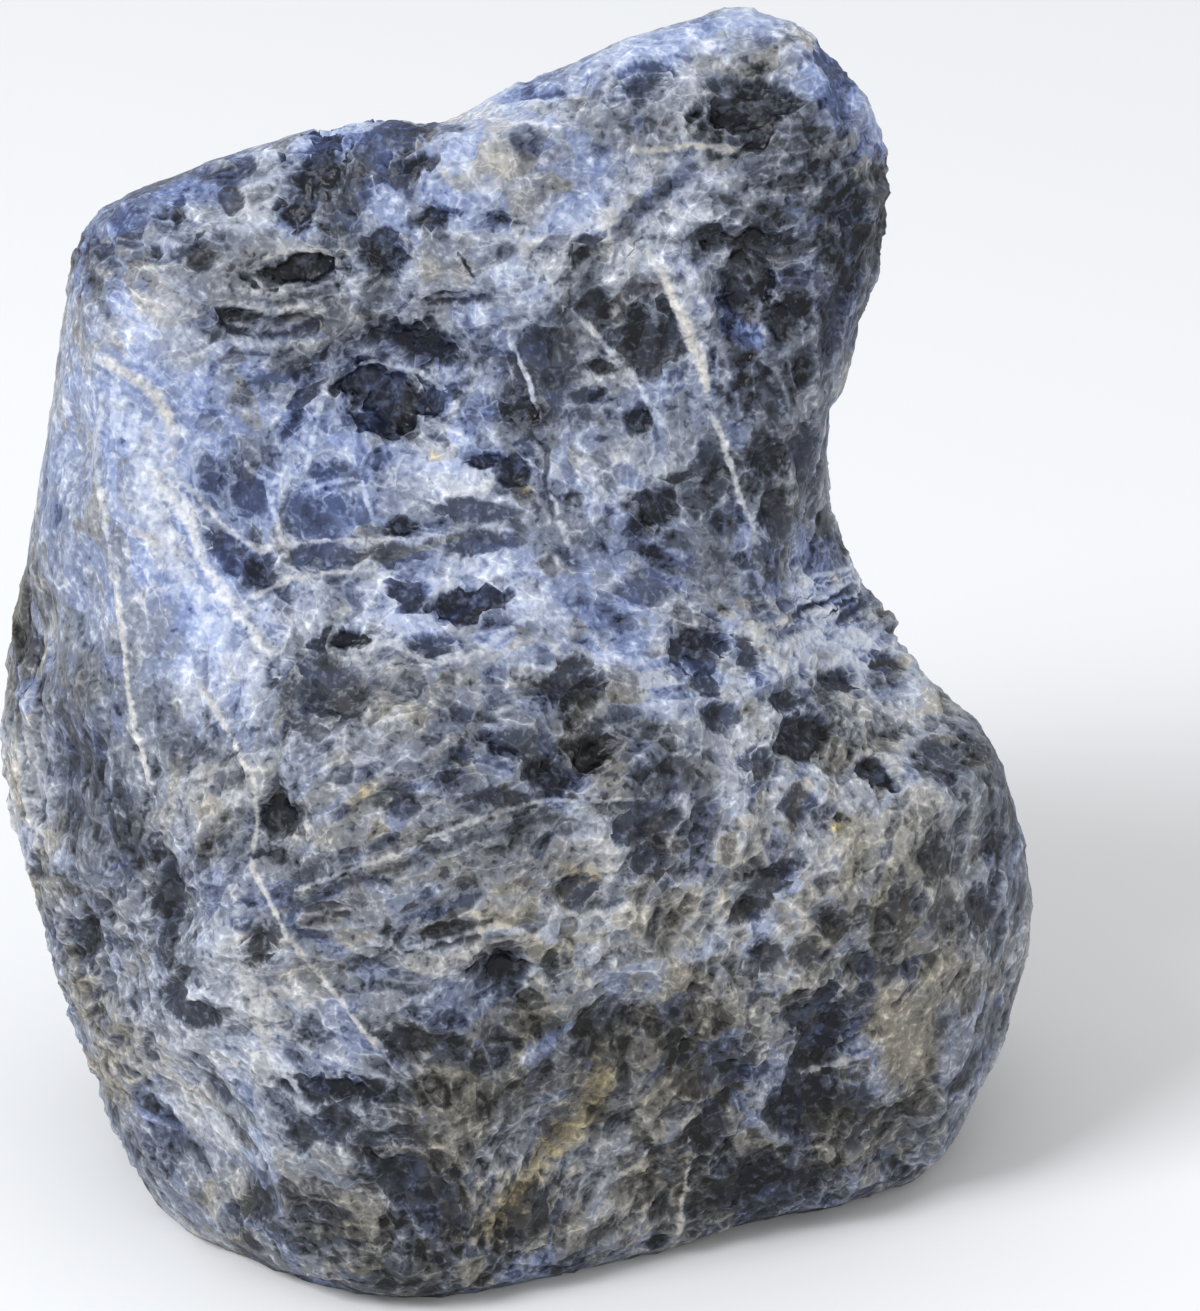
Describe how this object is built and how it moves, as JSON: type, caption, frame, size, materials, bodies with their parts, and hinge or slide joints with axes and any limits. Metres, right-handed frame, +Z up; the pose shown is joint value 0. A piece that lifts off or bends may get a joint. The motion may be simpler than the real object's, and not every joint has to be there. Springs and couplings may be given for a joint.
{
  "type": "raw sodalite stone",
  "caption": "Rough upright lump of raw blue-grey sodalite with a hollowed front, an overhanging knob and a flat broken base to stand on.",
  "frame": {"origin": "on the base plane, under the middle of the stone's bounding box", "axes": "+Z up through the stone as it stands, -Y towards the hollowed front, +X towards the overhanging knob"},
  "size_m": [0.1304, 0.0994, 0.154],
  "materials": {
    "sodalite": "raw broken stone: navy, slate and charcoal grains in a net of cream and pale blue veins, dull with glassy cleavage specks"
  },
  "bodies": {
    "root": {"sodalite": "sodalite"}
  },
  "joints": []
}
